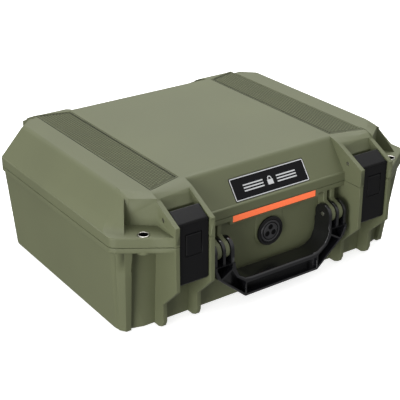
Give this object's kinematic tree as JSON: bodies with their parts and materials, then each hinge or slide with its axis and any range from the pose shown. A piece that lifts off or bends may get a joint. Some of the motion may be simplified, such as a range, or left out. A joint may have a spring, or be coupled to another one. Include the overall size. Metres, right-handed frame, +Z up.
{
  "type": "lockable hard pistol case",
  "caption": "Lockable hard plastic pistol case with foam, a hinged lid, push-button latches, a folding front handle, padlock eyelets and a pressure vent.",
  "frame": {"origin": "centre of the case's footprint on the floor, halfway between the latch towers' front faces and the hinge towers' back faces", "axes": "+X to the case's right seen from its front (the longest side), +Y from the latches towards the hinges, +Z up"},
  "size_m": [0.394, 0.348, 0.15],
  "materials": {
    "case_shell": "matte",
    "black_parts": "satin",
    "handle": "gloss",
    "accent": "satin",
    "name_plate": "satin",
    "seal": "matte",
    "steel": "satin",
    "spring_steel": "satin",
    "foam": "matte",
    "vent_cloth": "matte"
  },
  "bodies": {
    "base": {"base_shell": "case_shell", "base_foam": "foam", "base_foam_sheet": "foam", "accent_strip": "accent", "handle_pin_left": "steel", "handle_pin_right": "steel", "hinge_pin_left": "steel", "hinge_pin_right": "steel", "base_eyelet_left": "steel", "base_eyelet_right": "steel", "vent_body": "black_parts", "vent_cap": "black_parts", "vent_membrane": "vent_cloth", "vent_seal": "seal", "vent_nut": "black_parts"},
    "lid": {"lid_shell": "case_shell", "lid_foam": "foam", "lid_gasket": "seal", "name_plate": "name_plate", "latch_pin_left": "steel", "latch_pin_right": "steel", "lid_eyelet_left": "steel", "lid_eyelet_right": "steel"},
    "left_latch": {"latch_left": "black_parts", "button_pin_left": "steel", "button_spring_left": "spring_steel"},
    "right_latch": {"latch_right": "black_parts", "button_pin_right": "steel", "button_spring_right": "spring_steel"},
    "left_button": {"latch_button_left": "black_parts"},
    "right_button": {"latch_button_right": "black_parts"},
    "grip": {"handle": "handle"}
  },
  "joints": [
    {"name": "lid_hinge", "type": "hinge", "parent": "base", "child": "lid", "pos_m": [0, 0.16, 0.108], "axis": [-1, 0, 0], "range_deg": [0, 100]},
    {"name": "left_latch_hinge", "type": "hinge", "parent": "lid", "child": "left_latch", "pos_m": [-0.121, -0.152, 0.1275], "axis": [-1, 0, 0], "range_deg": [0, 95]},
    {"name": "left_button_press", "type": "hinge", "parent": "left_latch", "child": "left_button", "pos_m": [-0.121, -0.1683, 0.0933], "axis": [-1, 0, 0], "range_deg": [0, 7], "stiffness_Nm_per_rad": 0.05, "springref_deg": -28.65, "deforming": ["button_spring_left"]},
    {"name": "right_latch_hinge", "type": "hinge", "parent": "lid", "child": "right_latch", "pos_m": [0.121, -0.152, 0.1275], "axis": [-1, 0, 0], "range_deg": [0, 95]},
    {"name": "right_button_press", "type": "hinge", "parent": "right_latch", "child": "right_button", "pos_m": [0.121, -0.1683, 0.0933], "axis": [-1, 0, 0], "range_deg": [0, 7], "stiffness_Nm_per_rad": 0.05, "springref_deg": -28.65, "deforming": ["button_spring_right"]},
    {"name": "handle_hinge", "type": "hinge", "parent": "base", "child": "grip", "pos_m": [0, -0.151, 0.075], "axis": [-1, 0, 0], "range_deg": [0, 145]}
  ]
}
